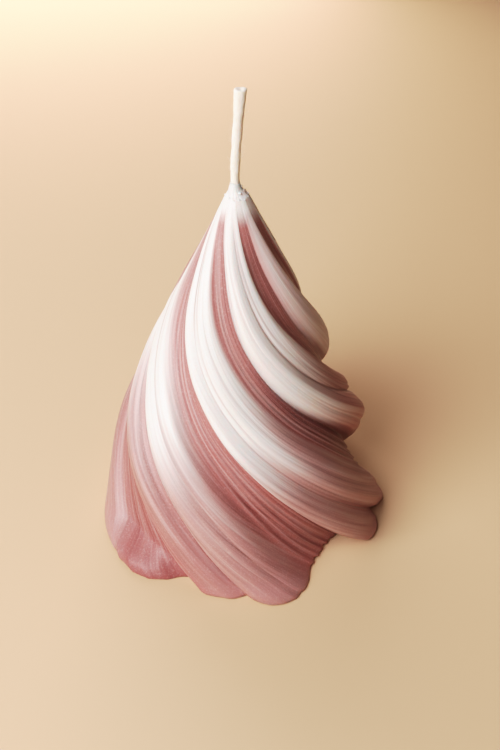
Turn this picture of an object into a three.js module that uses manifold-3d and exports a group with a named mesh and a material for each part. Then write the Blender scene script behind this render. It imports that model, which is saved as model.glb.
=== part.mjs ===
// A moulded spiral candle: seven folds twist from a wide foot to a pointed tip. White wax lies
// along the folds and fills the tip, rose wax makes the body, and a cotton wick runs through both.
// Sizes are in millimetres and angles in degrees. The candle stands on z = 0 around the z axis.
import * as THREE from 'three';
import { mergeVertices } from 'three/addons/utils/BufferGeometryUtils.js';
import Module from 'manifold-3d';

const wasm = await Module();
wasm.setup();

// Outer form
const waxHeight = 95.7; // table to the rim that the mould left round the wick
const baseRadius = 41; // out to the crest of a fold at the table
const tipRadius = 2.8; // of that rim
const footChamfer = 1.2; // round the edge that meets the table
const tipLean = -0.4; // the tip stands this far to one side of the foot
const moundHeight = 2; // wax that crept up the wick above the rim
const moundLip = 0.35; // wall of the mound at its top
const tipBlend = 16; // the folds get shallow over this height under the rim
const tipRelief = 0.2; // share of a fold's depth that is left at the rim
const footCentringX = -1; // the uneven folds are moved so that the foot is centred on the z axis
const footCentringY = 0.8;

// Wick
const wickDiameter = 2;
const wickCutDiameter = 2.7; // the cut end has opened a little
const wickFlareLength = 14; // of the part that widens towards the cut
const wickExposed = 22.7; // above the wax mound
const wickOffset = -0.8; // from the candle's axis, through all of the wax
const wickLean = 1.3; // sideways, from the mound to the cut
const wickRecess = 0.5; // the lower end stops short of the table
const wickClearance = 0.3; // all round the wick in its bore

// Two pours
const whiteTipHeight = 7.7; // solid white wax under the rim
const armThickness = 2.4; // white wax along each fold
const pourGap = 0.4; // between the white and the rose wax

// How finely the surface is divided
const ringCount = 36;
const wickSides = 16;
const wickRings = 12;

// Outline of the crests: [share of the height, share of the way from the tip's radius to the foot's]
const outline = [[0, 1], [0.04, 0.965], [0.125, 0.911], [0.305, 0.803], [0.51, 0.579], [0.71, 0.36],
  [0.866, 0.1675], [1, 0]];

// Turn of the folds seen from above: [share of the height, degrees]
const twist = [[0, 167], [0.23, 131], [0.355, 110], [0.47, 87], [0.6, 61.5], [0.7, 44], [0.835, 25.6],
  [1, 2.5]];

// The section of the folds is given row by row. A row runs up the whole candle, and its place across
// its fold and its radius are given at these shares of the height
const acrossHeights = [0, 0.042, 0.3135, 0.575, 0.836, 1];
const reachHeights = [0, 0.026, 0.0835, 0.575, 1];

// Each fold has the angle of its sharp edge, the first and last row of its white arm, and the share
// of the height where the arm ends. Its rows have shares of the fold's width from the sharp edge on,
// and shares of the crest's radius
const folds = [
  {
    edge: -348, white: [1, 6], armFoot: 0.4,
    rows: [
      { across: [0, 0, 0, 0], reach: [0.86, 0.84, 0.86] },
      { across: [0.04, 0.04, 0.04, 0.04], reach: [0.91, 0.9, 0.95] },
      { across: [0.09, 0.09, 0.09, 0.09], reach: [0.955, 0.945, 1.04] },
      { across: [0.17, 0.17, 0.17, 0.17], reach: [0.965, 0.965, 1.075] },
      { across: [0.28, 0.28, 0.28, 0.28], reach: [0.98, 0.975, 1.085] },
      { across: [0.4, 0.4, 0.4, 0.4], reach: [0.995, 0.975, 1.075] },
      { across: [0.515, 0.49, 0.46, 0.46], reach: [1.005, 0.95, 1.03] },
      { across: [0.6, 0.58, 0.56, 0.56], reach: [1.02, 0.885, 0.955] },
      { across: [0.715, 0.69, 0.66, 0.66], reach: [1.025, 0.865, 0.91] },
      { across: [0.81, 0.79, 0.76, 0.76], reach: [1, 0.865, 0.91] },
      { across: [0.9, 0.88, 0.86, 0.86], reach: [0.94, 0.86, 0.905] },
      { across: [0.975, 0.96, 0.94, 0.94], reach: [0.87, 0.855, 0.9] },
    ],
  },
  {
    edge: -281, white: [0, 4], armFoot: 0.42,
    rows: [
      { across: [0.1, 0.17, 0.1, 0.06], reach: [0.85, 0.86, 0.935] },
      { across: [0.26, 0.36, 0.25, 0.2], reach: [0.89, 0.91, 0.98] },
      { across: [0.42, 0.52, 0.42, 0.38], reach: [0.95, 0.96, 1.01] },
      { across: [0.66, 0.71, 0.62, 0.58], reach: [0.955, 0.965, 1.025] },
      { across: [0.9, 0.935, 0.86, 0.84], reach: [0.945, 0.955, 1] },
      { across: [0.965, 0.985, 0.95, 0.95], reach: [0.935, 0.935, 0.96] },
    ],
  },
  {
    edge: -253.5, white: [2, 7], armFoot: 0.32,
    rows: [
      { across: [0, 0.08, 0.13, 0.16], reach: [0.93, 0.915, 0.91] },
      { across: [0.04, 0.13, 0.18, 0.21], reach: [0.965, 0.945, 0.945] },
      { across: [0.085, 0.18, 0.225, 0.26], reach: [1, 0.985, 0.98] },
      { across: [0.18, 0.26, 0.31, 0.34], reach: [1.035, 1.01, 1.005] },
      { across: [0.3, 0.36, 0.39, 0.41], reach: [1.025, 1, 0.995] },
      { across: [0.36, 0.44, 0.46, 0.48], reach: [0.99, 0.97, 0.975] },
      { across: [0.44, 0.55, 0.57, 0.6], reach: [0.945, 0.94, 0.955] },
      { across: [0.515, 0.637, 0.68, 0.78], reach: [0.87, 0.87, 0.875] },
      { across: [0.6, 0.705, 0.74, 0.83], reach: [0.825, 0.825, 0.835] },
      { across: [0.68, 0.765, 0.79, 0.87], reach: [0.8, 0.8, 0.81] },
      { across: [0.76, 0.82, 0.84, 0.905], reach: [0.78, 0.785, 0.8] },
      { across: [0.84, 0.875, 0.89, 0.94], reach: [0.77, 0.775, 0.79] },
      { across: [0.92, 0.935, 0.95, 0.985], reach: [0.765, 0.77, 0.785] },
    ],
  },
  {
    edge: -197.5, white: [2, 10], armFoot: 0.38,
    rows: [
      { across: [-0.01, 0.015, 0.095, 0.15], reach: [0.77, 0.775, 0.79] },
      { across: [0.015, 0.06, 0.145, 0.21], reach: [0.89, 0.89, 0.9] },
      { across: [0.055, 0.105, 0.19, 0.27], reach: [0.985, 0.98, 0.985] },
      { across: [0.13, 0.17, 0.255, 0.33], reach: [1, 1.005, 1.01] },
      { across: [0.25, 0.23, 0.3, 0.37], reach: [0.975, 0.99, 1] },
      { across: [0.335, 0.322, 0.365, 0.42], reach: [0.92, 0.935, 0.97] },
      { across: [0.4, 0.4, 0.44, 0.48], reach: [0.98, 0.985, 0.985] },
      { across: [0.48, 0.48, 0.51, 0.54], reach: [1.005, 1.01, 1] },
      { across: [0.59, 0.58, 0.585, 0.61], reach: [0.97, 0.975, 0.98] },
      { across: [0.67, 0.65, 0.665, 0.69], reach: [0.95, 0.955, 0.955] },
      { across: [0.755, 0.725, 0.752, 0.765], reach: [0.905, 0.9, 0.895] },
      { across: [0.81, 0.785, 0.81, 0.82], reach: [0.88, 0.875, 0.865] },
      { across: [0.865, 0.845, 0.865, 0.87], reach: [0.86, 0.855, 0.845] },
      { across: [0.92, 0.9, 0.915, 0.92], reach: [0.84, 0.835, 0.83] },
      { across: [0.975, 0.955, 0.955, 0.965], reach: [0.82, 0.82, 0.815] },
    ],
  },
  {
    edge: -135.5, white: [0, 10], armFoot: 0.32,
    rows: [
      { across: [0.05, 0.04, -0.02, 0.03], reach: [0.8, 0.79, 0.79] },
      { across: [0.09, 0.08, 0.03, 0.07], reach: [0.85, 0.845, 0.87] },
      { across: [0.14, 0.13, 0.125, 0.12], reach: [0.9, 0.885, 0.96] },
      { across: [0.23, 0.23, 0.24, 0.2], reach: [0.95, 0.935, 0.99] },
      { across: [0.39, 0.39, 0.31, 0.27], reach: [1.02, 1.025, 1.005] },
      { across: [0.48, 0.48, 0.37, 0.33], reach: [0.99, 0.995, 0.985] },
      { across: [0.55, 0.55, 0.41, 0.37], reach: [0.94, 0.945, 0.965] },
      { across: [0.6, 0.59, 0.435, 0.4], reach: [0.9, 0.9, 0.945] },
      { across: [0.66, 0.65, 0.54, 0.45], reach: [0.935, 0.94, 0.955] },
      { across: [0.74, 0.72, 0.65, 0.53], reach: [0.96, 0.965, 0.955] },
      { across: [0.8, 0.79, 0.75, 0.6], reach: [0.95, 0.955, 0.925] },
      { across: [0.86, 0.85, 0.81, 0.66], reach: [0.92, 0.93, 0.86] },
      { across: [0.91, 0.9, 0.87, 0.75], reach: [0.87, 0.875, 0.83] },
      { across: [0.95, 0.945, 0.925, 0.85], reach: [0.83, 0.82, 0.82] },
    ],
  },
  {
    edge: -73, white: [0, 7], armFoot: 0.38,
    rows: [
      { across: [0, 0, -0.02, -0.06], reach: [0.85, 0.84, 0.82] },
      { across: [0.07, 0.07, 0.05, 0.03], reach: [0.91, 0.91, 0.88] },
      { across: [0.16, 0.16, 0.14, 0.12], reach: [0.965, 0.965, 0.94] },
      { across: [0.24, 0.24, 0.23, 0.21], reach: [0.99, 0.985, 0.98] },
      { across: [0.35, 0.35, 0.34, 0.31], reach: [1.01, 1, 1.01] },
      { across: [0.5, 0.5, 0.48, 0.41], reach: [1, 0.995, 1.035] },
      { across: [0.6, 0.6, 0.6, 0.48], reach: [0.975, 0.975, 1.035] },
      { across: [0.7, 0.7, 0.7, 0.53], reach: [0.95, 0.95, 1.01] },
      { across: [0.78, 0.78, 0.78, 0.58], reach: [0.925, 0.925, 0.965] },
      { across: [0.86, 0.86, 0.86, 0.67], reach: [0.905, 0.905, 0.93] },
      { across: [0.93, 0.93, 0.93, 0.82], reach: [0.89, 0.89, 0.91] },
    ],
  },
  {
    edge: -30, white: [1, 7], armFoot: 0.4,
    rows: [
      { across: [0, 0, 0, 0.02], reach: [0.87, 0.87, 0.9] },
      { across: [0.07, 0.07, 0.07, 0.1], reach: [0.93, 0.92, 0.93] },
      { across: [0.15, 0.15, 0.15, 0.18], reach: [0.975, 0.965, 0.965] },
      { across: [0.28, 0.28, 0.28, 0.3], reach: [1, 0.985, 0.985] },
      { across: [0.38, 0.38, 0.38, 0.4], reach: [0.98, 0.965, 0.965] },
      { across: [0.47, 0.47, 0.47, 0.49], reach: [0.985, 0.975, 0.975] },
      { across: [0.56, 0.56, 0.56, 0.58], reach: [1, 0.985, 0.985] },
      { across: [0.66, 0.66, 0.66, 0.68], reach: [0.97, 0.96, 0.96] },
      { across: [0.75, 0.75, 0.75, 0.77], reach: [0.93, 0.925, 0.925] },
      { across: [0.84, 0.84, 0.84, 0.85], reach: [0.9, 0.9, 0.9] },
      { across: [0.93, 0.93, 0.93, 0.93], reach: [0.88, 0.87, 0.87] },
    ],
  },
];

// Sizes that follow from the ones above
const boreRadius = wickDiameter / 2 + wickClearance;
const moundTop = waxHeight + moundHeight;
const coreTop = waxHeight - whiteTipHeight;
const clearOfSurface = 1; // how far a cutting form stands outside the wax where it must not cut it

// Smooth curve through rising points that never overshoots them
function curveThrough(points, x) {
  const slopeOf = (i) => (points[i + 1][1] - points[i][1]) / (points[i + 1][0] - points[i][0]);
  const tangentAt = (i) => {
    if (i === 0) return slopeOf(0);
    if (i === points.length - 1) return slopeOf(i - 1);
    const before = slopeOf(i - 1);
    const after = slopeOf(i);
    return before * after <= 0 ? 0 : (2 * before * after) / (before + after);
  };
  let i = 0;
  while (i < points.length - 2 && x > points[i + 1][0]) i += 1;
  const width = points[i + 1][0] - points[i][0];
  const t = THREE.MathUtils.clamp((x - points[i][0]) / width, 0, 1);
  const start = (1 + 2 * t) * (1 - t) ** 2 * points[i][1] + t * (1 - t) ** 2 * width * tangentAt(i);
  const end = t * t * (3 - 2 * t) * points[i + 1][1] - t * t * (1 - t) * width * tangentAt(i + 1);
  return start + end;
}

// Value of a row at one height, held level below its first and above its last given height
function rowValue(heights, values, z) {
  const held = [values[0], ...values, values[values.length - 1]];
  const points = heights.map((height, i) => [height, held[i]]);
  return curveThrough(points, z / waxHeight);
}

// One column of the surface for every row of every fold
function makeColumns() {
  return folds.flatMap((fold, k) => {
    const nextEdge = k + 1 < folds.length ? folds[k + 1].edge : folds[0].edge + 360;
    return fold.rows.map((row, i) => ({
      fold,
      reach: row.reach,
      angleAt: (z) => fold.edge + rowValue(acrossHeights, row.across, z) * (nextEdge - fold.edge),
      white: i >= fold.white[0] && i <= fold.white[1],
    }));
  });
}

const columns = makeColumns();

function crestRadius(z) {
  return tipRadius + (baseRadius - tipRadius) * curveThrough(outline, z / waxHeight);
}

function axisShift(z) {
  return tipLean * Math.min(z / waxHeight, 1) ** 2;
}

// Radius of the wax at one column and height
function waxRadius(column, z) {
  const depth = tipRelief + (1 - tipRelief) * THREE.MathUtils.smoothstep(waxHeight - z, 0, tipBlend);
  const chamfer = Math.max(footChamfer - z, 0);
  const reach = rowValue(reachHeights, column.reach, z);
  return crestRadius(z) * (1 - (1 - reach) * depth) - chamfer;
}

// Closed body from rings of points, each ring with the same count, capped at both ends
function loftGeometry(rings) {
  const count = rings[0].length;
  const positions = rings.flat().flatMap((point) => point.toArray());
  const centreOf = (ring) => {
    const sum = ring.reduce((total, point) => total.add(point), new THREE.Vector3());
    return sum.divideScalar(count);
  };
  const lowCentre = positions.length / 3;
  positions.push(...centreOf(rings[0]).toArray());
  positions.push(...centreOf(rings[rings.length - 1]).toArray());
  const index = [];
  for (let c = 0; c < count; c += 1) {
    const next = (c + 1) % count;
    const topRow = (rings.length - 1) * count;
    index.push(lowCentre, next, c);
    index.push(lowCentre + 1, topRow + c, topRow + next);
    for (let r = 0; r + 1 < rings.length; r += 1) {
      const low = r * count;
      const high = low + count;
      index.push(low + c, low + next, high + c);
      index.push(low + next, high + next, high + c);
    }
  }
  const geometry = new THREE.BufferGeometry();
  geometry.setAttribute('position', new THREE.Float32BufferAttribute(positions, 3));
  geometry.setIndex(index);
  return geometry;
}

// Ring of the twisted section at one height, with a radius for each column
function sectionRing(z, radiusOf) {
  const turn = curveThrough(twist, z / waxHeight);
  return columns.map((column) => {
    const angle = THREE.MathUtils.degToRad(column.angleAt(z) + turn);
    const radius = radiusOf(column, z);
    return new THREE.Vector3(axisShift(z) + radius * Math.cos(angle), radius * Math.sin(angle), z);
  });
}

function ringHeights(top) {
  const heights = [0, footChamfer];
  for (let r = 1; r <= ringCount; r += 1) heights.push(footChamfer + ((top - footChamfer) * r) / ringCount);
  return heights;
}

// Round ring of the mound between the rim and the wick
function moundRing(share) {
  const z = waxHeight + moundHeight * share;
  const centre = THREE.MathUtils.lerp(axisShift(waxHeight), wickOffset, share);
  const radius = THREE.MathUtils.lerp(tipRadius, boreRadius + moundLip, Math.sqrt(share));
  const turn = curveThrough(twist, 1);
  return columns.map((column) => {
    const angle = THREE.MathUtils.degToRad(column.angleAt(waxHeight) + turn);
    return new THREE.Vector3(centre + radius * Math.cos(angle), radius * Math.sin(angle), z);
  });
}

function wholeWaxGeometry() {
  const rings = ringHeights(waxHeight).map((z) => sectionRing(z, waxRadius));
  rings.push(moundRing(0.35), moundRing(1));
  return loftGeometry(rings);
}

// Form that parts the two pours: inside the white arms and outside the wax everywhere else
function partingGeometry(inset) {
  const radiusOf = (column, z) => {
    const underArm = column.white && z > column.fold.armFoot * waxHeight;
    return waxRadius(column, z) + (underArm ? -armThickness : clearOfSurface) - inset;
  };
  const rings = ringHeights(coreTop - inset).map((z) => sectionRing(z, radiusOf));
  rings[0].forEach((point) => point.setZ(-clearOfSurface));
  return loftGeometry(rings);
}

function boreGeometry() {
  const length = moundTop + 2 * clearOfSurface;
  const geometry = new THREE.CylinderGeometry(boreRadius, boreRadius, length, wickSides);
  geometry.rotateX(Math.PI / 2);
  return geometry.translate(wickOffset, 0, moundTop / 2);
}

// Wick as a turned body, bent above the mound by moving its points sideways
function wickGeometry() {
  const cutHeight = moundTop + wickExposed;
  const radiusAt = (z) => {
    const flare = THREE.MathUtils.smoothstep(z, cutHeight - wickFlareLength, cutHeight);
    return THREE.MathUtils.lerp(wickDiameter, wickCutDiameter, flare) / 2;
  };
  const profile = [new THREE.Vector2(0, wickRecess), new THREE.Vector2(radiusAt(wickRecess), wickRecess)];
  for (let r = 0; r <= wickRings; r += 1) {
    const z = moundTop + (wickExposed * r) / wickRings;
    profile.push(new THREE.Vector2(radiusAt(z), z));
  }
  profile.push(new THREE.Vector2(0, cutHeight));
  const geometry = new THREE.LatheGeometry(profile, wickSides);
  geometry.rotateX(Math.PI / 2);
  const points = geometry.attributes.position;
  for (let i = 0; i < points.count; i += 1) {
    const above = Math.max(points.getZ(i) - moundTop, 0) / wickExposed;
    points.setX(i, points.getX(i) + wickOffset + wickLean * above ** 1.5);
  }
  geometry.computeVertexNormals();
  return geometry;
}

function toSolid(geometry) {
  const bare = geometry.clone();
  bare.deleteAttribute('normal');
  bare.deleteAttribute('uv');
  const merged = mergeVertices(bare);
  const mesh = new wasm.Mesh({
    numProp: 3,
    vertProperties: new Float32Array(merged.attributes.position.array),
    triVerts: new Uint32Array(merged.index.array),
  });
  return new wasm.Manifold(mesh);
}

function toGeometry(solid) {
  const mesh = solid.getMesh();
  const geometry = new THREE.BufferGeometry();
  geometry.setAttribute('position', new THREE.Float32BufferAttribute(mesh.vertProperties, 3));
  geometry.setIndex(Array.from(mesh.triVerts));
  geometry.computeVertexNormals();
  return geometry;
}

function addMesh(group, name, geometry, material) {
  geometry.translate(footCentringX, footCentringY, 0);
  const mesh = new THREE.Mesh(geometry, new THREE.MeshStandardMaterial(material));
  mesh.name = name;
  group.add(mesh);
}

const wholeWax = toSolid(wholeWaxGeometry());
const bore = toSolid(boreGeometry());
const whiteWax = wholeWax.subtract(toSolid(partingGeometry(0))).subtract(bore);
const roseWax = wholeWax.intersect(toSolid(partingGeometry(pourGap))).subtract(bore);

const candle = new THREE.Group();
addMesh(candle, 'rose_wax_body', toGeometry(roseWax), { color: '#b98484', roughness: 0.42, metalness: 0 });
addMesh(candle, 'white_wax_pour', toGeometry(whiteWax), { color: '#f0eeec', roughness: 0.38, metalness: 0 });
addMesh(candle, 'wick', wickGeometry(), { color: '#f4f1ea', roughness: 0.9, metalness: 0 });

export default candle;
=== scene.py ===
# Spiral candle: seven folds of two-tone wax twist up to a pointed tip with a braided cotton wick.
# Lengths are in millimetres and angles in degrees until a point goes into a mesh, in metres.
import bmesh
import bpy
import math
import random
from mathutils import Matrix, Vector, noise


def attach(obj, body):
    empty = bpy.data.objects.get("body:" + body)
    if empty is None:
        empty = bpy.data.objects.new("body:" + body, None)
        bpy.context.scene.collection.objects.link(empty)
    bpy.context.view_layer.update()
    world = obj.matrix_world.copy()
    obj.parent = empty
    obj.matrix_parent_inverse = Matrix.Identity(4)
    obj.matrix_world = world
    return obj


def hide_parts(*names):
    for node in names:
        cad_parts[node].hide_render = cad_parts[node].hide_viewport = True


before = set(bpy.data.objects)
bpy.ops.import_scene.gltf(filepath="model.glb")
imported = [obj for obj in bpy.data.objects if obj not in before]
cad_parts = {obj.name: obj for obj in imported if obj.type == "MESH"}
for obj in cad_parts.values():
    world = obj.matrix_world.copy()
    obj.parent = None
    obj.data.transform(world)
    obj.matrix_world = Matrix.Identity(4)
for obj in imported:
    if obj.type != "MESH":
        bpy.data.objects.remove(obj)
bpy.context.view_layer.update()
metres = 0.001
weldDistance = 1e-7  # in metres
print("frame loaded")


# Camera, light and floor, like the photograph's view from above the front
studio = {
    "cameraPlace": (1.552, -193.803, 198.152),
    "cameraPitch": 38.503,  # looking down
    "cameraLens": 45.6,
    "sensorWidth": 36,
    "cameraReach": (10, 20000),
    "lights": {
        "key": {"place": (-286, -300, 385), "size": 380, "power": 3.5, "colour": "#ffffff"},
        "fill": {"place": (380, -80, 400), "size": 400, "power": 0.2, "colour": "#ffdacc"},
        "back": {"place": (-120, 430, 190), "size": 420, "power": 1.7, "colour": "#fff1e6"},
    },
    "lightTarget": (0, 0, 45),
    "skyColour": "#d8a483",
    "skyStrength": 0.06,
    "floorColour": "#d9bd9f",
    "floorRoughness": 0.75,
    "floorWidth": 3000,
    # a camera's contrast, as linear light and what the view shows for it
    "brightest": 1.4,
    "toneCurve": [(0.05, 0.028), (0.1, 0.075), (0.16, 0.15), (0.25, 0.28), (0.35, 0.43),
                  (0.5, 0.59), (0.7, 0.745), (0.9, 0.885), (1.1, 0.965)],
}


def linearFrom(hexColour):
    channels = [int(hexColour[i:i + 2], 16) / 255 for i in (1, 3, 5)]
    linear = [c / 12.92 if c <= 0.04045 else ((c + 0.055) / 1.055) ** 2.4 for c in channels]
    return (*linear, 1.0)


def addNode(tree, kind, settings=None, links=None):
    # settings go to node properties or, by socket name or number, to unlinked inputs;
    # a colour mix has its factor at 0, its colours at 6 and 7 and its result at output 2
    node = tree.nodes.new(kind)
    for key, value in (settings or {}).items():
        if isinstance(key, str) and hasattr(node, key):
            setattr(node, key, value)
        else:
            node.inputs[key].default_value = value
    for key, source in (links or {}).items():
        tree.links.new(source, node.inputs[key])
    return node


def newMaterial(name):
    material = bpy.data.materials.new(name)
    material.use_nodes = True
    material.node_tree.nodes.clear()
    return material, material.node_tree


def pieceFrom(bm, name, material, smooth=True):
    mesh = bpy.data.meshes.new(name)
    bm.to_mesh(mesh)
    bm.free()
    if smooth:
        mesh.shade_smooth()
    piece = bpy.data.objects.new(name, mesh)
    bpy.context.scene.collection.objects.link(piece)
    mesh.materials.append(material)
    return piece


def smoothStep(x, low, high):
    t = min(max((x - low) / (high - low), 0.0), 1.0)
    return t * t * (3 - 2 * t)


def mixed(a, b, share):
    return a + (b - a) * share


def roundNoise(a, turns, along):
    # smooth noise by the angle round an axis, so that it has no seam
    return noise.noise(Vector((math.cos(a) * turns, math.sin(a) * turns, along)))


def curveTangents(xs, ys):
    # slopes of a smooth curve that never overshoots its points
    slopes = [(ys[i + 1] - ys[i]) / (xs[i + 1] - xs[i]) for i in range(len(xs) - 1)]
    tangents = [slopes[0]]
    for before, after in zip(slopes, slopes[1:]):
        tangents.append(0.0 if before * after <= 0 else 2 * before * after / (before + after))
    return tangents + [slopes[-1]]


def curveAt(xs, ys, tangents, i, x):
    # the curve between its points i and i + 1
    width = xs[i + 1] - xs[i]
    t = min(max((x - xs[i]) / width, 0.0), 1.0)
    start = (1 + 2 * t) * (1 - t) ** 2 * ys[i] + t * (1 - t) ** 2 * width * tangents[i]
    return start + t * t * (3 - 2 * t) * ys[i + 1] - t * t * (1 - t) * width * tangents[i + 1]


def spanIndex(xs, x):
    i = 0
    while i < len(xs) - 2 and x > xs[i + 1]:
        i += 1
    return i


def curveThrough(points, x):
    xs = [p[0] for p in points]
    ys = [p[1] for p in points]
    return curveAt(xs, ys, curveTangents(xs, ys), spanIndex(xs, x), x)


def keyedValue(heights, values, z):
    # like curveThrough, but level at both ends and beyond them
    tangents = curveTangents(heights, values)
    tangents[0] = 0.0
    tangents[-1] = 0.0
    z = min(max(z, heights[0]), heights[-1])
    return curveAt(heights, values, tangents, spanIndex(heights, z), z)


def makeCamera():
    data = bpy.data.cameras.new("photoCamera")
    data.lens = studio["cameraLens"]
    data.sensor_width = studio["sensorWidth"]
    data.sensor_fit = "AUTO"
    data.clip_start, data.clip_end = [reach * metres for reach in studio["cameraReach"]]
    camera = bpy.data.objects.new("photoCamera", data)
    camera.location = Vector(studio["cameraPlace"]) * metres
    camera.rotation_euler = (math.radians(90 - studio["cameraPitch"]), 0, 0)
    bpy.context.scene.collection.objects.link(camera)
    bpy.context.scene.camera = camera


def makeLights():
    target = Vector(studio["lightTarget"]) * metres
    for name, lamp in studio["lights"].items():
        data = bpy.data.lights.new(name + "Light", "AREA")
        data.size = lamp["size"] * metres
        data.energy = lamp["power"]
        data.color = linearFrom(lamp["colour"])[:3]
        light = bpy.data.objects.new(name + "Light", data)
        light.location = Vector(lamp["place"]) * metres
        aim = target - light.location
        light.rotation_euler = aim.to_track_quat("-Z", "Y").to_euler()
        bpy.context.scene.collection.objects.link(light)
    world = bpy.data.worlds.new("softStudio")
    world.use_nodes = True
    sky = world.node_tree.nodes["Background"]
    sky.inputs["Color"].default_value = linearFrom(studio["skyColour"])
    sky.inputs["Strength"].default_value = studio["skyStrength"]
    bpy.context.scene.world = world


def setTone():
    view = bpy.context.scene.view_settings
    view.view_transform = "Standard"
    view.use_curve_mapping = True
    view.curve_mapping.white_level = (studio["brightest"],) * 3
    curve = view.curve_mapping.curves[3]  # the one for all three colours together
    for given, shown in studio["toneCurve"]:
        curve.points.new(given / studio["brightest"], shown)
    view.curve_mapping.update()


def makeFloor():
    material, tree = newMaterial("paleMattPaper")
    shader = addNode(tree, "ShaderNodeBsdfPrincipled",
                     {"Base Color": linearFrom(studio["floorColour"]),
                      "Roughness": studio["floorRoughness"]})
    addNode(tree, "ShaderNodeOutputMaterial", None, {"Surface": shader.outputs[0]})
    bm = bmesh.new()
    bmesh.ops.create_grid(bm, x_segments=2, y_segments=2, size=studio["floorWidth"] * metres / 2)
    pieceFrom(bm, "floor", material, smooth=False)


makeCamera()
makeLights()
setTone()
makeFloor()
print("camera, light and floor ready")


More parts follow.
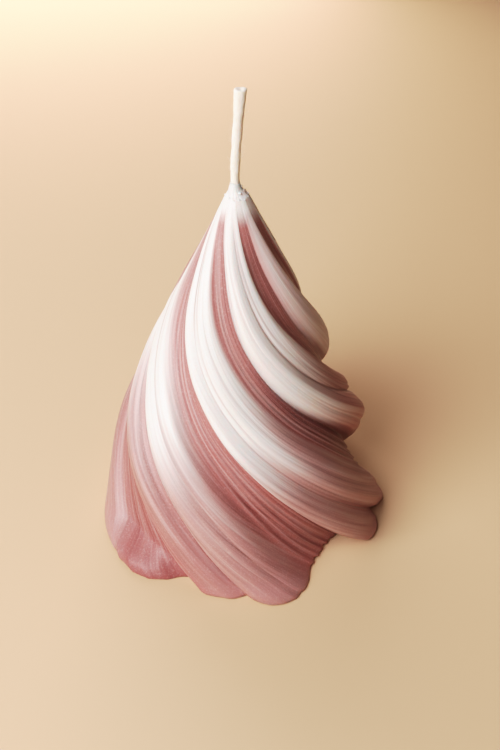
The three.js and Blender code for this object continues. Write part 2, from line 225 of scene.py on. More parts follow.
# Wax: one closed skin over both pours, with the bore and the underside of the foot
wax = {
    "centring": (-1.0, 0.8, 0.0),  # puts the middle of the uneven foot on the z axis
    "height": 95.7,
    "baseRadius": 41,
    "tipRadius": 2.8,
    "tipLean": -0.4,
    "tipBlend": 16,  # the folds flatten over this height below the tip, down to tipRelief
    "tipRelief": 0.2,
    "footRounding": 1.5,
    "footRings": 6,
    "ringStep": 0.56,
    "columnStep": 0.5,  # at columnHeight
    "columnHeight": 30,
    "fewestColumns": 3,
    "waveDepth": 0.12,  # slight waviness of the cooled wax
    "waveTurns": 2.2,
    "waveLength": 14,
    "fluteDepths": (1.35, 0.5),  # the fine flutes are deep low down and shallow higher up
    "fluteHeights": (28, 60),
    "bendHeights": (1, 6),  # the creases start above the rim of the foot
    "hollowShadeReliefs": (0.06, 0.2),  # painted shade: the rose is darker in the hollows between these two reliefs, below the heights on the next line
    "hollowShadeHeights": (45, 62),
    "hollowShadeFrom": 9,  # painted shade: lower down, the rim of the foot keeps the shade of the hollow above it
    # what the skin carries for its material; noMarks is the last three away from the folds
    "marks": ("whiteness", "fadeHeight", "lastWhite", "rowDistance", "bend", "hollowShade"),
    "noMarks": (3.0, 0.0, 0.0),
    "noWhite": (36.0, 0.2),  # fading height and last white where there is no arm
    "unwoundRadius": 30,
    # the mound at the tip as radii and heights, then its lumps
    "mound": [(2.6, 95.85), (2.35, 96.0), (2.12, 96.2), (1.95, 96.45), (1.8, 96.75), (1.66, 97.05),
              (1.53, 97.35), (1.42, 97.7), (1.32, 98.05), (1.23, 98.4), (1.16, 98.7), (1.1, 98.85)],
    "moundRound": 0.3,  # share of its rise where it gets round
    "moundCentred": 0.7,  # and where it is centred on the wick
    "lumps": 0.3,
    "lumpTurns": 1.9,
    "lumpRate": 0.3,
    "lumpsFrom": 0.15,
    "lumpLift": 0.6,
    "boreOffset": -0.8,
    "boreRadius": 1.3,
    "boreNeck": 1.03,
    "neckHeights": (92, 96),
    "boreHeights": (98.6, 97.5, 96.4, 95.2, 94, 92.5, 80, 64, 48, 32, 16, 0.6),
    "undersideRings": 8,
    "hollowShares": (0.05, 0.55),  # from the bore out, where the hollow underneath runs out
    # radius and turn against the share of the height
    "outline": [(0, 1), (0.04, 0.965), (0.125, 0.911), (0.305, 0.803), (0.51, 0.579),
                (0.71, 0.36), (0.866, 0.1675), (1, 0)],
    "twist": [(0, 167), (0.23, 131), (0.355, 110), (0.47, 87), (0.6, 61.5), (0.7, 44),
              (0.835, 25.6), (1, 2.5)],
    # A fold runs from its edge angle to the next one's. A row across it holds its place, in
    # shares of the fold's width, at the four widthHeights, its radius, in shares of the crest's,
    # at the three radiusHeights, and the bulge to the next row, a hollow where negative.
    # The fold's arm of white wax lies between whiteFrom and whiteTo, shares of the width too.
    # whiteFade: heights where the arm fades at its two sides, and the share left lower down.
    # softness: degrees in which its two sides blend. strength: its most white, else 1.
    # The key for the fold's hollows: how much painted shade darkens the rose there, else 0.
    "widthHeights": (4, 30, 55, 80),
    "radiusHeights": (2.2, 7, 55),
    "folds": [
        {"edge": -348, "whiteFrom": (.02, .02, .02, .02), "whiteTo": (.62, .62, .62, .62),
         "whiteFade": (52, 56, .33), "softness": (1, 9), "strength": .8, "roseDarkening": .6,
         "rows": [
             (0, 0, 0, 0, .86, .84, .86, 0),
             (.04, .04, .04, .04, .91, .90, .95, 0),
             (.09, .09, .09, .09, .955, .945, 1.04, 0),
             (.17, .17, .17, .17, .965, .965, 1.075, 0),
             (.28, .28, .28, .28, .98, .975, 1.085, 0),
             (.40, .40, .40, .40, .995, .975, 1.075, 0),
             (.515, .49, .46, .46, 1.005, .95, 1.03, -.006),
             (.60, .58, .56, .56, 1.02, .885, .955, -.004),
             (.715, .69, .66, .66, 1.025, .865, .91, -.004),
             (.81, .79, .76, .76, 1.0, .865, .91, -.004),
             (.90, .88, .86, .86, .94, .86, .905, 0),
             (.975, .96, .94, .94, .87, .855, .90, 0)]},
        # low down this fold's white starts later: painted shade on its left half, in the groove
        # next to the fold before
        {"edge": -281, "whiteFrom": (.5, .5, .3, .12), "whiteTo": (1.06, 1.25, 1.35, 1.38),
         "whiteFade": (42, 46, .22), "softness": (6, 1.5), "strength": .9,
         "rows": [
             (.10, .17, .10, .06, .85, .86, .935, 0),
             (.26, .36, .25, .20, .89, .91, .98, 0),
             (.42, .52, .42, .38, .95, .96, 1.01, 0),
             (.66, .71, .62, .58, .955, .965, 1.025, .006),
             (.90, .935, .86, .84, .945, .955, 1.0, 0),
             (.965, .985, .95, .95, .935, .935, .96, 0)]},
        {"edge": -253.5, "whiteFrom": (.07, .14, .16, .6), "whiteTo": (.515, .61, .655, .66),
         "whiteFade": (33, 40, .25), "softness": (.6, 5),
         "rows": [
             (0, .08, .13, .16, .93, .915, .91, 0),
             (.04, .13, .18, .21, .965, .945, .945, 0),
             (.085, .18, .225, .26, 1, .985, .98, 0),
             (.18, .26, .31, .34, 1.035, 1.01, 1.005, .004),
             (.30, .36, .39, .41, 1.025, 1, .995, .004),
             (.36, .44, .46, .48, .99, .97, .975, .006),
             (.44, .55, .57, .60, .945, .94, .955, .002),
             (.515, .637, .68, .78, .87, .87, .875, -.008),
             (.60, .705, .74, .83, .825, .825, .835, -.014),
             (.68, .765, .79, .87, .80, .80, .81, -.005),
             (.76, .82, .84, .905, .78, .785, .80, -.013),
             (.84, .875, .89, .94, .77, .775, .79, -.008),
             (.92, .935, .95, .985, .765, .77, .785, 0)]},
        {"edge": -197.5, "whiteFrom": (.035, .08, .155, .26), "whiteTo": (.755, .725, .73, .70),
         "whiteFade": (35, 47, .22), "softness": (.5, 3), "roseDarkening": .75,
         "rows": [
             (-.01, .015, .095, .15, .77, .775, .79, 0),
             (.015, .06, .145, .21, .89, .89, .90, 0),
             (.055, .105, .19, .27, .985, .98, .985, 0),
             (.13, .17, .255, .33, 1, 1.005, 1.01, .003),
             (.25, .23, .30, .37, .975, .99, 1, .004),
             (.335, .322, .365, .42, .92, .935, .97, .008),
             (.40, .40, .44, .48, .98, .985, .985, .003),
             (.48, .48, .51, .54, 1.005, 1.01, 1, 0),
             (.59, .58, .585, .61, .97, .975, .98, .006),
             (.67, .65, .665, .69, .95, .955, .955, .002),
             (.755, .725, .752, .765, .905, .90, .895, -.007),
             (.81, .785, .81, .82, .88, .875, .865, -.013),
             (.865, .845, .865, .87, .86, .855, .845, -.006),
             (.92, .90, .915, .92, .84, .835, .83, -.014),
             (.975, .955, .955, .965, .82, .82, .815, 0)]},
        {"edge": -135.5, "whiteFrom": (.04, .03, -.02, 0), "whiteTo": (.83, .80, .76, .61),
         "whiteFade": (38, 57, 0), "softness": (.6, 1.2), "strength": .93, "roseDarkening": .5,
         "rows": [
             (.05, .04, -.02, .03, .80, .79, .79, 0),
             (.09, .08, .03, .07, .85, .845, .87, .004),
             (.14, .13, .125, .12, .90, .885, .96, .006),
             (.23, .23, .24, .20, .95, .935, .99, .006),
             (.39, .39, .31, .27, 1.02, 1.025, 1.005, .002),
             (.48, .48, .37, .33, .99, .995, .985, 0),
             (.55, .55, .41, .37, .94, .945, .965, 0),
             (.60, .59, .435, .40, .90, .90, .945, .012),
             (.66, .65, .54, .45, .935, .94, .955, .004),
             (.74, .72, .65, .53, .96, .965, .955, .004),
             (.80, .79, .75, .60, .95, .955, .925, -.008),
             (.86, .85, .81, .66, .92, .93, .86, -.008),
             (.91, .90, .87, .75, .87, .875, .83, -.008),
             (.95, .945, .925, .85, .83, .82, .82, 0)]},
        {"edge": -73, "whiteFrom": (0, 0, 0, .06), "whiteTo": (.70, .70, .70, .525),
         "whiteFade": (38, 42, .1), "softness": (7, .8), "strength": .62,
         "rows": [
             (0, 0, -.02, -.06, .85, .84, .82, 0),
             (.07, .07, .05, .03, .91, .91, .88, 0),
             (.16, .16, .14, .12, .965, .965, .94, .003),
             (.24, .24, .23, .21, .99, .985, .98, .004),
             (.35, .35, .34, .31, 1.01, 1, 1.01, .003),
             (.50, .50, .48, .41, 1, .995, 1.035, .006),
             (.60, .60, .60, .48, .975, .975, 1.035, .003),
             (.70, .70, .70, .53, .95, .95, 1.01, -.004),
             (.78, .78, .78, .58, .925, .925, .965, -.004),
             (.86, .86, .86, .67, .905, .905, .93, -.004),
             (.93, .93, .93, .82, .89, .89, .91, 0)]},
        {"edge": -30, "whiteFrom": (.07, .07, .07, .15), "whiteTo": (.66, .66, .66, .68),
         "whiteFade": (36, 44, .3), "softness": (2, 3),
         "rows": [
             (0, 0, 0, .02, .87, .87, .90, 0),
             (.07, .07, .07, .10, .93, .92, .93, 0),
             (.15, .15, .15, .18, .975, .965, .965, .003),
             (.28, .28, .28, .30, 1, .985, .985, .004),
             (.38, .38, .38, .40, .98, .965, .965, .008),
             (.47, .47, .47, .49, .985, .975, .975, .003),
             (.56, .56, .56, .58, 1, .985, .985, .004),
             (.66, .66, .66, .68, .97, .96, .96, -.007),
             (.75, .75, .75, .77, .93, .925, .925, -.007),
             (.84, .84, .84, .85, .90, .90, .90, -.007),
             (.93, .93, .93, .93, .88, .87, .87, 0)]},
    ],
}


def centred(x, y, z):
    return Vector((x, y, z)) + Vector(wax["centring"])


def crestRadius(z):
    reach = wax["baseRadius"] - wax["tipRadius"]
    return wax["tipRadius"] + reach * curveThrough(wax["outline"], z / wax["height"])


def turnAt(z):
    return curveThrough(wax["twist"], z / wax["height"])


def axisShift(z):
    return wax["tipLean"] * min(z / wax["height"], 1) ** 2


def foldSpans():
    edges = [fold["edge"] for fold in wax["folds"]]
    return [(fold, edge, after - edge) for fold, edge, after in
            zip(wax["folds"], edges, edges[1:] + [edges[0] + 360])]


def rowsAt(z):
    # angle and radius share of every row round the candle at one height, and its bulge
    angles, radii, bulges = [], [], []
    for fold, edge, width in foldSpans():
        for row in fold["rows"]:
            angles.append(edge + width * keyedValue(wax["widthHeights"], row[0:4], z))
            radii.append(keyedValue(wax["radiusHeights"], row[4:7], z))
            bulges.append(row[7])
    return angles, radii, bulges


def bulgeAt(t):
    # 1 halfway between two rows, with a slope of 4 at the first and of -4 at the second
    return 4 * t * (1 - t)


def rowBends(angles, radii, bulges):
    # how sharply the section bends at each row: above 0 in a crease, below 0 on an arris
    count = len(angles)
    steps = [math.radians((angles[(i + 1) % count] - angles[i]) % 360) for i in range(count)]
    slopes = [(radii[(i + 1) % count] - radii[i]) / steps[i] for i in range(count)]
    return [slopes[i] - slopes[i - 1] + 4 * (bulges[i] / steps[i] + bulges[i - 1] / steps[i - 1])
            for i in range(count)]


def planColumns():
    # as many columns between two rows as their distance low down asks for
    angles, radii, _ = rowsAt(wax["columnHeight"])
    count = len(angles)
    radius = crestRadius(wax["columnHeight"])
    columns = []
    for i in range(count):
        across = angles[(i + 1) % count] + (360 if i + 1 == count else 0) - angles[i]
        rise = (radii[(i + 1) % count] - radii[i]) * radius
        length = math.hypot(math.radians(across) * radius, rise)
        steps = max(wax["fewestColumns"], round(length / wax["columnStep"]))
        columns += [(i, s / steps) for s in range(steps)]
    return columns


def whiteArms(z):
    # the white arms at one height: first and last angle, and how each of them blends and fades
    arms = []
    for fold, edge, width in foldSpans():
        start = edge + width * keyedValue(wax["widthHeights"], fold["whiteFrom"], z)
        end = edge + width * keyedValue(wax["widthHeights"], fold["whiteTo"], z)
        look = (*fold["softness"], fold.get("strength", 1), *fold["whiteFade"])
        arms += [(start + turn, end + turn, *look) for turn in (-360, 0, 360)]
    return arms


def whiteAt(arms, angle):
    # share of white wax, its fading height, and the share that is left below that
    white, fade, tail = (0.0, *wax["noWhite"])
    for start, end, nearSoft, farSoft, strength, first, last, left in arms:
        if start - nearSoft < angle < end + farSoft:
            inside = smoothStep(angle, start - nearSoft, start + nearSoft)
            inside *= strength * (1 - smoothStep(angle, end - farSoft, end + farSoft))
            if inside >= white:
                white, tail = inside, left
                fade = mixed(first, last, smoothStep(angle, start, end))
    return white, fade, tail


def outsideRing(z, columns, inset=0.0):
    # points of the folded, twisted section, each with its angle before the twist and its marks:
    # distance to the nearest row, bend there, and the painted shade that darkens the rose in the
    # hollows
    angles, radii, bulges = rowsAt(z)
    count = len(angles)
    longAngles = [angles[-1] - 360] + angles + [angles[0] + 360, angles[1] + 360]
    longRadii = [radii[-1]] + radii + [radii[0], radii[1]]
    tangents = curveTangents(longAngles, longRadii)
    crest = crestRadius(z)
    shift = axisShift(z)
    turn = math.radians(turnAt(z))
    depth = smoothStep(wax["height"] - z, 0, wax["tipBlend"])
    kept = mixed(wax["tipRelief"], 1, depth)
    fluting = depth * mixed(*wax["fluteDepths"], smoothStep(z, *wax["fluteHeights"]))
    bends = rowBends(angles, radii, bulges)
    bendShare = depth * smoothStep(z, *wax["bendHeights"])
    # painted shade: the rose is darker where the section lies deep in a hollow, lower down
    hollowShadeRadii = rowsAt(max(z, wax["hollowShadeFrom"]))[1]
    hollowShadeShare = 1 - smoothStep(z, *wax["hollowShadeHeights"])
    hollowShadeAmounts = [fold.get("roseDarkening", 0) for fold in wax["folds"] for row in fold["rows"]]
    points = []
    for i, t in columns:
        after = (i + 1) % count
        angle = mixed(longAngles[i + 1], longAngles[i + 2], t)
        across = math.radians(longAngles[i + 2] - longAngles[i + 1]) * crest
        share = curveAt(longAngles, longRadii, tangents, i + 1, angle)
        share = 1 - (1 - share) * kept + bulges[i] * bulgeAt(t) * fluting
        a = math.radians(angle) + turn
        wave = roundNoise(a, wax["waveTurns"], z / wax["waveLength"]) * wax["waveDepth"] * depth
        r = crest * share - inset + wave
        relief = 1 - mixed(hollowShadeRadii[i], hollowShadeRadii[after], t)
        points.append((shift + r * math.cos(a), r * math.sin(a), z, angle,
                       across * min(t, 1 - t),
                       bends[i if t < 0.5 else after] * bendShare,
                       hollowShadeShare * hollowShadeAmounts[i] * smoothStep(relief, *wax["hollowShadeReliefs"])))
    return points


def sideRings(columns):
    # round the edge of the foot, then up to the rim of the tip
    rounding = wax["footRounding"]
    rings = []
    for step in range(wax["footRings"] + 1):
        a = math.radians(90 * step / wax["footRings"])
        z = rounding * (1 - math.cos(a))
        rings.append(outsideRing(z, columns, rounding * (1 - math.sin(a))))
    steps = round((wax["height"] - rounding) / wax["ringStep"])
    for step in range(1, steps + 1):
        rings.append(outsideRing(mixed(rounding, wax["height"], step / steps), columns))
    return rings


def moundRings(rim):
    # the lumpy mound of wax that crept up the wick
    rimShift = axisShift(wax["height"])
    rings = []
    for radius, z in wax["mound"]:
        rise = (z - wax["height"]) / (wax["mound"][-1][1] - wax["height"])
        centre = mixed(rimShift, wax["boreOffset"], smoothStep(rise, 0, wax["moundCentred"]))
        ring = []
        for p in rim:
            a = math.atan2(p[1], p[0] - rimShift)
            reach = math.hypot(p[1], p[0] - rimShift) / wax["tipRadius"]
            lump = abs(roundNoise(a, wax["lumpTurns"], z * wax["lumpRate"])) * wax["lumps"]
            r = radius * mixed(reach, 1, smoothStep(rise, 0, wax["moundRound"]))
            r += lump * smoothStep(rise, 0, wax["lumpsFrom"]) * (1 - rise)
            up = lump * wax["lumpLift"] * (1 - rise)
            ring.append((centre + r * math.cos(a), r * math.sin(a), z + up, p[3]))
        rings.append(ring)
    return rings


def boreRings(rim):
    # down the bore, turning back with the folds
    rings = []
    for z in wax["boreHeights"]:
        turn = turnAt(min(z, wax["height"]))
        r = mixed(wax["boreRadius"], wax["boreNeck"], smoothStep(z, *wax["neckHeights"]))
        ring = []
        for p in rim:
            a = math.radians(p[3] + turn)
            ring.append((wax["boreOffset"] + r * math.cos(a), r * math.sin(a), z, p[3]))
        rings.append(ring)
    return rings


def undersideRings(hole, edge):
    # across the underside to the edge of the foot, with a small hollow round the wick
    rings = []
    for step in range(1, wax["undersideRings"] + 1):
        s = step / (wax["undersideRings"] + 1)
        z = wax["boreHeights"][-1] * (1 - smoothStep(s, *wax["hollowShares"]))
        rings.append([(mixed(h[0], e[0], s), mixed(h[1], e[1], s), z, e[3])
                      for h, e in zip(hole, edge)])
    return rings


def makeSkin(material):
    # a grid of rings and columns, closed both ways into one skin, with marks for the material
    columns = planColumns()
    side = sideRings(columns)
    mound = moundRings(side[-1])
    bore = boreRings(side[-1])
    rings = side + mound + bore + undersideRings(bore[-1], side[0])
    boreStart = len(side) + len(mound)
    count = len(columns)
    print("skin rings", len(rings), "columns", count)
    bm = bmesh.new()
    bmesh.ops.create_grid(bm, x_segments=count, y_segments=len(rings), size=0.5)
    white, fade, tail, rowDistance, bend, roseDarkening = [
        bm.verts.layers.float.new(name) for name in wax["marks"]]
    unwound = bm.verts.layers.float_vector.new("unwound")
    arms = [whiteArms(min(ring[0][2], wax["height"])) for ring in rings]
    for vert in bm.verts:
        c = round((vert.co.x + 0.5) * count) % count
        r = round((vert.co.y + 0.5) * len(rings)) % len(rings)
        x, y, z, angle, *marks = rings[r][c]
        vert.co = centred(x, y, z) * metres
        vert[rowDistance], vert[bend], vert[roseDarkening] = marks or wax["noMarks"]
        share, vert[fade], vert[tail] = whiteAt(arms[r], angle)
        vert[white] = 0.0 if boreStart <= r < boreStart + len(bore) else share
        a = math.radians(angle)
        around = Vector((math.cos(a), math.sin(a), 0)) * wax["unwoundRadius"]
        vert[unwound] = (around + Vector((0, 0, z))) * metres
    bmesh.ops.remove_doubles(bm, verts=bm.verts, dist=weldDistance)
    bmesh.ops.recalc_face_normals(bm, faces=bm.faces)
    skin = pieceFrom(bm, "wax_skin", material)
    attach(skin, "root")
    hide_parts("rose_wax_body", "white_wax_pour")


# Crumbs of wax along the ragged rim where the white wax crept up the wick
crumbs = {
    "places": [(2.55, 95.95, 12), (2.2, 96.3, 38), (2.6, 95.8, -18), (2.75, 95.55, -50),
               (2.65, 95.75, -78), (2.7, 95.6, -104), (2.55, 95.85, -132), (2.6, 95.8, -158),
               (2.65, 95.7, 176), (2.5, 95.95, 140), (2.6, 95.8, 100), (1.8, 96.9, -60),
               (1.75, 97.0, -8), (1.4, 97.9, 5)],  # reach, height, angle
    "sizes": (0.27, 0.34, 0.25, 0.3, 0.23),
    "centredHeights": (96, 98),
    "subdivisions": 3,
    "flatness": 0.7,
    "dents": 0.35,
    "dentRate": 1.5,
    "dentShift": 3.1,  # so that no two crumbs are alike
}


def makeCrumbs(material):
    bm = bmesh.new()
    unwound = bm.verts.layers.float_vector.new("unwound")
    for k, (reach, z, angle) in enumerate(crumbs["places"]):
        a = math.radians(angle)
        size = crumbs["sizes"][k % len(crumbs["sizes"])]
        shift = mixed(axisShift(wax["height"]), wax["boreOffset"],
                      smoothStep(z, *crumbs["centredHeights"]))
        centre = centred(shift + reach * math.cos(a), reach * math.sin(a), z)
        dentStart = Vector((k * crumbs["dentShift"], 0, 0))
        made = bmesh.ops.create_icosphere(bm, subdivisions=crumbs["subdivisions"], radius=size)
        for vert in made["verts"]:
            dentPlace = dentStart + vert.co * crumbs["dentRate"] / size
            dent = 1 + crumbs["dents"] * noise.noise(dentPlace)
            flat = Vector((vert.co.x, vert.co.y, vert.co.z * crumbs["flatness"]))
            vert.co = (centre + flat * dent) * metres
            vert[unwound] = vert.co
    piece = pieceFrom(bm, "wax_crumbs", material)
    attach(piece, "root")


# Dyed paraffin and soy wax, cast in a smooth mould: satin, a little light travels inside it,
# and the white pour runs into the rose one in fine streaks along the folds.
# A pair of pairs turns the first range of a value into the second.
waxFinish = {
    "white": "#ebe8e7",
    "rose": "#b27b7a",
    # a darker rose: the real tone of the rose streaks, and painted shade in the hollows and the
    # creases
    "roseStreakAndShade": "#7c4241",
    "frost": "#eacdc8",
    "streakWidth": 1.2,
    "streakLength": 45,
    "broadWidth": 6,
    "speckWidth": 0.45,  # frost is finer, but has to show
    "streakHeight": 0.25,
    "speckHeight": 0.06,
    "streakDeepening": 2.6,
    "fadeShift": ((0.3, 0.7), (-6, 6)),  # broad streaks move the fading height up and down
    "mainFade": ((-10, 10), (0, 1)),  # by the height above it, from the last white
    "footFade": ((-34, -6), (0.55, 1)),
    "tip": ((89.5, 94.5), (0, 1)),
    "streakMost": ((2, 9), (0, 0.22)),
    # the creases: rose through the thin white, and painted shade in them
    "creaseDepth": ((0.1, 0.9), (0, 1)),
    "creaseNear": ((0, 0.5), (0.42, 0)),
    "roseStreak": ((0.5, 0.72), (0, 1)),
    "whiteStreak": ((0.5, 0.3), (0, 1)),
    # painted highlight along the sharp arrises: the next three ranges
    "arrisSharp": ((-0.15, -0.8), (0, 1)),
    "arrisNear": ((0.05, 0.4), (0.15, 0)),
    "arrisBreaks": ((0.35, 0.6), (0.25, 1)),
    "haze": ((25, 60), (0, 0.05)),
    "specks": ((0.52, 0.7), (0, 0.2)),
    "streakRelief": ((50, 92), (0.9, 0)),
    "roughness": ((0.3, 0.7), (0.36, 0.5)),
}


def rangeOf(name, shape="LINEAR"):
    (low, high), (first, last) = waxFinish[name]
    return {"interpolation_type": shape, "From Min": low, "From Max": high,
            "To Min": first, "To Max": last}


def waxPatterns(tree):
    # what the mesh has written on it, and the streaks and specks, as sockets by name
    marks = {name: addNode(tree, "ShaderNodeAttribute", {"attribute_name": name}).outputs["Fac"]
             for name in wax["marks"]}
    unwound = addNode(tree, "ShaderNodeAttribute", {"attribute_name": "unwound"}).outputs["Vector"]
    height = addNode(tree, "ShaderNodeSeparateXYZ", None, {"Vector": unwound}).outputs["Z"]
    marks["height"] = addNode(tree, "ShaderNodeMath", {"operation": "MULTIPLY", 1: 1 / metres},
                              {0: height}).outputs[0]
    along = waxFinish["streakWidth"] / waxFinish["streakLength"]
    stretched = addNode(tree, "ShaderNodeMapping", {"Scale": (1, 1, along)},
                        {"Vector": unwound}).outputs[0]
    marks["streaks"] = addNode(tree, "ShaderNodeTexNoise",
                               {"Scale": 1 / (waxFinish["streakWidth"] * metres), "Detail": 3.0,
                                "Roughness": 0.6}, {"Vector": stretched}).outputs["Fac"]
    marks["broad"] = addNode(tree, "ShaderNodeTexNoise",
                             {"Scale": 1 / (waxFinish["broadWidth"] * metres), "Detail": 2.0},
                             {"Vector": stretched}).outputs["Fac"]
    place = addNode(tree, "ShaderNodeTexCoord").outputs["Object"]
    marks["specks"] = addNode(tree, "ShaderNodeTexNoise",
                              {"Scale": 1 / (waxFinish["speckWidth"] * metres), "Detail": 2.0,
                               "Roughness": 0.7}, {"Vector": place}).outputs["Fac"]
    return marks


def whiteArm(tree, marks):
    # the arms of white wax, which fade out downwards, and the tip, which is all white
    above = addNode(tree, "ShaderNodeMath", {"operation": "SUBTRACT"},
                    {0: marks["height"], 1: marks["fadeHeight"]}).outputs[0]
    fadeShift = addNode(tree, "ShaderNodeMapRange", rangeOf("fadeShift"),
                        {"Value": marks["broad"]}).outputs[0]
    moved = addNode(tree, "ShaderNodeMath", {"operation": "ADD"},
                    {0: above, 1: fadeShift}).outputs[0]
    mainFade = addNode(tree, "ShaderNodeMapRange", rangeOf("mainFade", "SMOOTHSTEP"),
                       {"Value": moved, "To Min": marks["lastWhite"]}).outputs[0]
    footFade = addNode(tree, "ShaderNodeMapRange", rangeOf("footFade", "SMOOTHSTEP"),
                       {"Value": moved}).outputs[0]
    faded = addNode(tree, "ShaderNodeMath", {"operation": "MULTIPLY"},
                    {0: mainFade, 1: footFade}).outputs[0]
    arm = addNode(tree, "ShaderNodeMath", {"operation": "MULTIPLY"},
                  {0: marks["whiteness"], 1: faded}).outputs[0]
    tip = addNode(tree, "ShaderNodeMapRange", rangeOf("tip", "SMOOTHSTEP"),
                  {"Value": marks["height"]}).outputs[0]
    return addNode(tree, "ShaderNodeMath", {"operation": "MAXIMUM"}, {0: arm, 1: tip}).outputs[0]


def highlightAndWhiteLines(tree, marks, streakMost):
    # painted highlight in light lines along the sharp arrises of the hollows, fine white streaks,
    # and a haze of white wax that gets thicker towards the tip
    arrisSharp = addNode(tree, "ShaderNodeMapRange", rangeOf("arrisSharp"),
                         {"Value": marks["bend"]}).outputs[0]
    arrisNear = addNode(tree, "ShaderNodeMapRange", rangeOf("arrisNear", "SMOOTHSTEP"),
                        {"Value": marks["rowDistance"]}).outputs[0]
    arrisHighlight = addNode(tree, "ShaderNodeMath", {"operation": "MULTIPLY"},
                        {0: arrisSharp, 1: arrisNear}).outputs[0]
    arrisBreaks = addNode(tree, "ShaderNodeMapRange", rangeOf("arrisBreaks"),
                          {"Value": marks["broad"]}).outputs[0]
    brokenArrisHighlight = addNode(tree, "ShaderNodeMath", {"operation": "MULTIPLY"},
                     {0: arrisHighlight, 1: arrisBreaks}).outputs[0]
    whiteStreak = addNode(tree, "ShaderNodeMapRange", rangeOf("whiteStreak"),
                          {"Value": marks["streaks"], "To Max": streakMost}).outputs[0]
    lines = addNode(tree, "ShaderNodeMath", {"operation": "ADD"},
                    {0: brokenArrisHighlight, 1: whiteStreak}).outputs[0]
    haze = addNode(tree, "ShaderNodeMapRange", rangeOf("haze"),
                   {"Value": marks["height"]}).outputs[0]
    return addNode(tree, "ShaderNodeMath", {"operation": "ADD"}, {0: lines, 1: haze}).outputs[0]


def waxColour(tree, marks):
    # the streaks run out where the wax meets the smooth rim of the foot
    streakMost = addNode(tree, "ShaderNodeMapRange", rangeOf("streakMost"),
                         {"Value": marks["height"]}).outputs[0]
    # rose shows through the thin white along the creases and in fine streaks; further down the
    # creases also darken the rose, as painted shade
    creaseDepth = addNode(tree, "ShaderNodeMapRange", rangeOf("creaseDepth"),
                          {"Value": marks["bend"]}).outputs[0]
    creaseNear = addNode(tree, "ShaderNodeMapRange", rangeOf("creaseNear", "SMOOTHSTEP"),
                         {"Value": marks["rowDistance"]}).outputs[0]
    crease = addNode(tree, "ShaderNodeMath", {"operation": "MULTIPLY"},
                     {0: creaseDepth, 1: creaseNear}).outputs[0]
    roseStreak = addNode(tree, "ShaderNodeMapRange", rangeOf("roseStreak"),
                         {"Value": marks["streaks"], "To Max": streakMost}).outputs[0]
    lost = addNode(tree, "ShaderNodeMath", {"operation": "ADD"},
                   {0: crease, 1: roseStreak}).outputs[0]
    kept = addNode(tree, "ShaderNodeMath", {"operation": "SUBTRACT", 0: 1.0}, {1: lost}).outputs[0]
    thinned = addNode(tree, "ShaderNodeMath", {"operation": "MULTIPLY", "use_clamp": True},
                      {0: whiteArm(tree, marks), 1: kept}).outputs[0]
    white = addNode(tree, "ShaderNodeMath", {"operation": "ADD", "use_clamp": True},
                    {0: thinned, 1: highlightAndWhiteLines(tree, marks, streakMost)}).outputs[0]
    # painted shade makes the rose darker in the hollows and the creases, and the same fine streaks
    # make it deeper
    hollowAndCreaseShade = addNode(tree, "ShaderNodeMath", {"operation": "ADD"},
                        {0: marks["hollowShade"], 1: crease}).outputs[0]
    roseDarkening = addNode(tree, "ShaderNodeMath", {"operation": "MULTIPLY_ADD", "use_clamp": True,
                                            1: waxFinish["streakDeepening"]},
                   {0: roseStreak, 2: hollowAndCreaseShade}).outputs[0]
    rose = addNode(tree, "ShaderNodeMix", {"data_type": "RGBA", 6: linearFrom(waxFinish["rose"]),
                                           7: linearFrom(waxFinish["roseStreakAndShade"])}, {0: roseDarkening})
    colour = addNode(tree, "ShaderNodeMix",
                     {"data_type": "RGBA", 7: linearFrom(waxFinish["white"])},
                     {0: white, 6: rose.outputs[2]})
    # fine light specks of frost in the wax, drawn near half a millimetre so that they show
    speckShow = addNode(tree, "ShaderNodeMapRange", rangeOf("specks"),
                        {"Value": marks["specks"]}).outputs[0]
    return addNode(tree, "ShaderNodeMix", {"data_type": "RGBA", 7: linearFrom(waxFinish["frost"])},
                   {0: speckShow, 6: colour.outputs[2]}).outputs[2]


def makeWax():
    material, tree = newMaterial("cast two-tone candle wax")
    marks = waxPatterns(tree)
    # bump: streaks and specks well below a tenth of a millimetre, the streaks only low down
    relief = addNode(tree, "ShaderNodeMapRange", rangeOf("streakRelief"),
                     {"Value": marks["height"]}).outputs[0]
    streakBump = addNode(tree, "ShaderNodeBump", {"Distance": waxFinish["streakHeight"] * metres},
                         {"Height": marks["streaks"], "Strength": relief})
    speckBump = addNode(tree, "ShaderNodeBump",
                        {"Strength": 1.0, "Distance": waxFinish["speckHeight"] * metres},
                        {"Height": marks["specks"], "Normal": streakBump.outputs[0]})
    rough = addNode(tree, "ShaderNodeMapRange", rangeOf("roughness"),
                    {"Value": marks["specks"]}).outputs[0]
    shader = addNode(tree, "ShaderNodeBsdfPrincipled",
                     {"IOR": 1.44, "Subsurface Weight": 0.35, "Subsurface Scale": 1.4 * metres,
                      "Subsurface Radius": (1.0, 0.45, 0.35), "Coat Weight": 0.08,
                      "Coat Roughness": 0.3},
                     {"Base Color": waxColour(tree, marks), "Roughness": rough,
                      "Normal": speckBump.outputs[0]})
    addNode(tree, "ShaderNodeOutputMaterial", None, {"Surface": shader.outputs[0]})
    return material


waxMaterial = makeWax()
makeSkin(waxMaterial)
makeCrumbs(waxMaterial)
print("wax skin and crumbs ready")


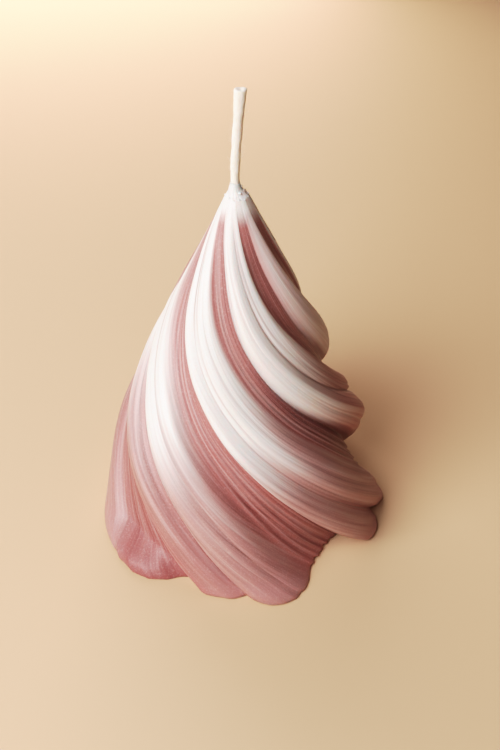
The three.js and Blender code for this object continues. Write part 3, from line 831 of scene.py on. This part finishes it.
# Wick: round cotton braid, stiff with wax, cut off square with a few loose ends
wick = {
    "low": 0.5,
    "hiddenRings": 8,
    "hiddenStep": 12,
    "hiddenShare": 0.97,  # below braidFrom, where the braid is in the wax, it is left plain
    "braidFrom": 96.2,
    "bare": 97.2,
    "top": 120.4,
    "sides": 28,
    "ringStep": 0.2,
    "radius": [(0, 0.98), (96, 0.98), (98.5, 1.06), (110, 1.13), (116, 1.2), (120.4, 1.4)],
    "lean": [(0, -0.8), (97, -0.8), (100.5, -0.8), (107, -0.5), (114, 0.04), (118.5, 0.38),
             (120.4, 0.52)],
    "braidPitch": 6.5,
    "strands": 4,
    "braidDepth": 0.05,
    "flareFrom": 117,  # the cut end spreads to two sides
    "flare": 0.1,
    "fray": 0.05,
    "frayTurns": 2,
    "frayRate": 0.9,
    "endRings": ((0.93, 0.10), (0.8, 0.16), (0.6, 0.14), (0.4, 0.05), (0.2, -0.04)),
    "endRagged": 0.6,
    "endTurns": 3,
    "endRate": 4,
}


def braidRadius(a, z):
    # the strands of a braid cross each other in both directions
    phase = 2 * math.pi * z / wick["braidPitch"]
    half = wick["strands"] / 2
    highest = max(math.cos(half * a + phase), math.cos(half * a - phase))
    return 1 + wick["braidDepth"] * (highest - 0.5)


def wickRing(z, share=1.0, lift=0.0):
    ring = []
    for s in range(wick["sides"]):
        a = 2 * math.pi * s / wick["sides"]
        r = curveThrough(wick["radius"], z) * share
        r *= braidRadius(a, z) if z > wick["braidFrom"] else wick["hiddenShare"]
        r *= 1 + wick["flare"] * math.cos(2 * a) * smoothStep(z, wick["flareFrom"], wick["top"])
        r *= 1 + wick["fray"] * roundNoise(a, wick["frayTurns"], z * wick["frayRate"])
        ragged = wick["endRagged"] * roundNoise(a, wick["endTurns"], share * wick["endRate"])
        up = lift * (0.5 + abs(math.cos(a)) + ragged)
        x = curveThrough(wick["lean"], z) + r * math.cos(a)
        ring.append(centred(x, r * math.sin(a), z + up) * metres)
    return ring


def addTube(bm, rings):
    # a tube through rings of points; its two ends are closed later
    sides = len(rings[0])
    steps = len(rings) - 1
    verts = bmesh.ops.create_grid(bm, x_segments=sides, y_segments=steps, size=0.5)["verts"]
    for vert in verts:
        c = round((vert.co.x + 0.5) * sides)
        vert.co = rings[round((vert.co.y + 0.5) * steps)][c % sides]
    bmesh.ops.remove_doubles(bm, verts=verts, dist=weldDistance)


def closedTubes(bm, name, material):
    ends = [edge for edge in bm.edges if edge.is_boundary]
    bmesh.ops.holes_fill(bm, edges=ends, sides=wick["sides"])
    bmesh.ops.recalc_face_normals(bm, faces=bm.faces)
    return pieceFrom(bm, name, material)


def makeWick(material):
    steps = round((wick["top"] - wick["bare"]) / wick["ringStep"])
    heights = [wick["low"] + wick["hiddenStep"] * k for k in range(wick["hiddenRings"])]
    heights += [mixed(wick["bare"], wick["top"], k / steps) for k in range(steps + 1)]
    rings = [wickRing(z) for z in heights]
    rings += [wickRing(wick["top"], share, lift) for share, lift in wick["endRings"]]
    bm = bmesh.new()
    addTube(bm, rings)
    piece = closedTubes(bm, "cotton_wick", material)
    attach(piece, "root")
    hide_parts("wick")


# Loose fibres standing off the braid, drawn at 0.06 mm instead of 0.02 mm so that they show
fuzz = {
    "seed": 11,
    "count": 110,
    "low": 98.6,
    "crowding": 0.8,  # below 1 there are more of them towards the top
    "radius": 0.028,
    "taper": 0.6,
    "sides": 3,
    "steps": 6,
    "lengths": (0.7, 2.4),
    "shortness": 2,  # above 1 most of them are short
    "rootShare": 0.9,
    "rises": (-0.5, 1.4),
    "droop": 0.45,
    "sway": 0.8,
}


def makeFuzz(material):
    chance = random.Random(fuzz["seed"])
    bm = bmesh.new()
    for _ in range(fuzz["count"]):
        z = mixed(fuzz["low"], wick["top"], chance.random() ** fuzz["crowding"])
        a = chance.uniform(0, 2 * math.pi)
        outward = Vector((math.cos(a), math.sin(a), 0))
        sideways = Vector((-math.sin(a), math.cos(a), 0))
        sway = sideways * chance.uniform(-1, 1) * fuzz["sway"]
        rise = Vector((0, 0, chance.uniform(*fuzz["rises"])))
        length = mixed(*fuzz["lengths"], chance.random() ** fuzz["shortness"])
        root = centred(curveThrough(wick["lean"], z), 0, z)
        root += outward * curveThrough(wick["radius"], z) * fuzz["rootShare"]
        rings = []
        for step in range(fuzz["steps"] + 1):
            s = step / fuzz["steps"]
            r = fuzz["radius"] * (1 - fuzz["taper"] * s)
            bent = outward * s * (1 - fuzz["droop"] * s) + sway * s * s + rise * s * (0.5 + 0.5 * s)
            ring = []
            for k in range(fuzz["sides"]):
                c = 2 * math.pi * k / fuzz["sides"]
                edge = sideways * r * math.cos(c) + Vector((0, 0, r * math.sin(c)))
                ring.append((root + bent * length + edge) * metres)
            rings.append(ring)
        addTube(bm, rings)
    piece = closedTubes(bm, "wick_fuzz", material)
    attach(piece, "root")


# Cotton yarn, braided and dipped in wax: off-white, matt, fine fibres along the strands
cotton = {
    "light": "#fbf7f1",
    "shade": "#efe6da",
    "fibreWidth": 0.16,
    "fibreLength": 1.4,
    "fibreHeight": 0.12,
    "fibreContrast": (0.35, 0.65),
}


def makeCotton():
    material, tree = newMaterial("braided waxed cotton")
    place = addNode(tree, "ShaderNodeTexCoord").outputs["Object"]
    along = cotton["fibreWidth"] / cotton["fibreLength"]
    stretched = addNode(tree, "ShaderNodeMapping", {"Scale": (1, 1, along)},
                        {"Vector": place}).outputs[0]
    fibres = addNode(tree, "ShaderNodeTexNoise",
                     {"Scale": 1 / (cotton["fibreWidth"] * metres), "Detail": 3.0,
                      "Roughness": 0.65}, {"Vector": stretched}).outputs["Fac"]
    low, high = cotton["fibreContrast"]
    shade = addNode(tree, "ShaderNodeMapRange", {"From Min": low, "From Max": high},
                    {"Value": fibres}).outputs[0]
    colour = addNode(tree, "ShaderNodeMix", {"data_type": "RGBA", 6: linearFrom(cotton["shade"]),
                                             7: linearFrom(cotton["light"])}, {0: shade})
    bump = addNode(tree, "ShaderNodeBump",
                   {"Strength": 1.0, "Distance": cotton["fibreHeight"] * metres},
                   {"Height": fibres})
    shader = addNode(tree, "ShaderNodeBsdfPrincipled",
                     {"Roughness": 0.8, "IOR": 1.47, "Sheen Weight": 0.25, "Sheen Roughness": 0.5,
                      "Subsurface Weight": 0.5, "Subsurface Radius": (1.0, 0.85, 0.7),
                      "Subsurface Scale": 1.5 * metres},
                     {"Base Color": colour.outputs[2], "Normal": bump.outputs[0]})
    addNode(tree, "ShaderNodeOutputMaterial", None, {"Surface": shader.outputs[0]})
    return material


cottonMaterial = makeCotton()
makeWick(cottonMaterial)
makeFuzz(cottonMaterial)
print("wick and fibres ready")
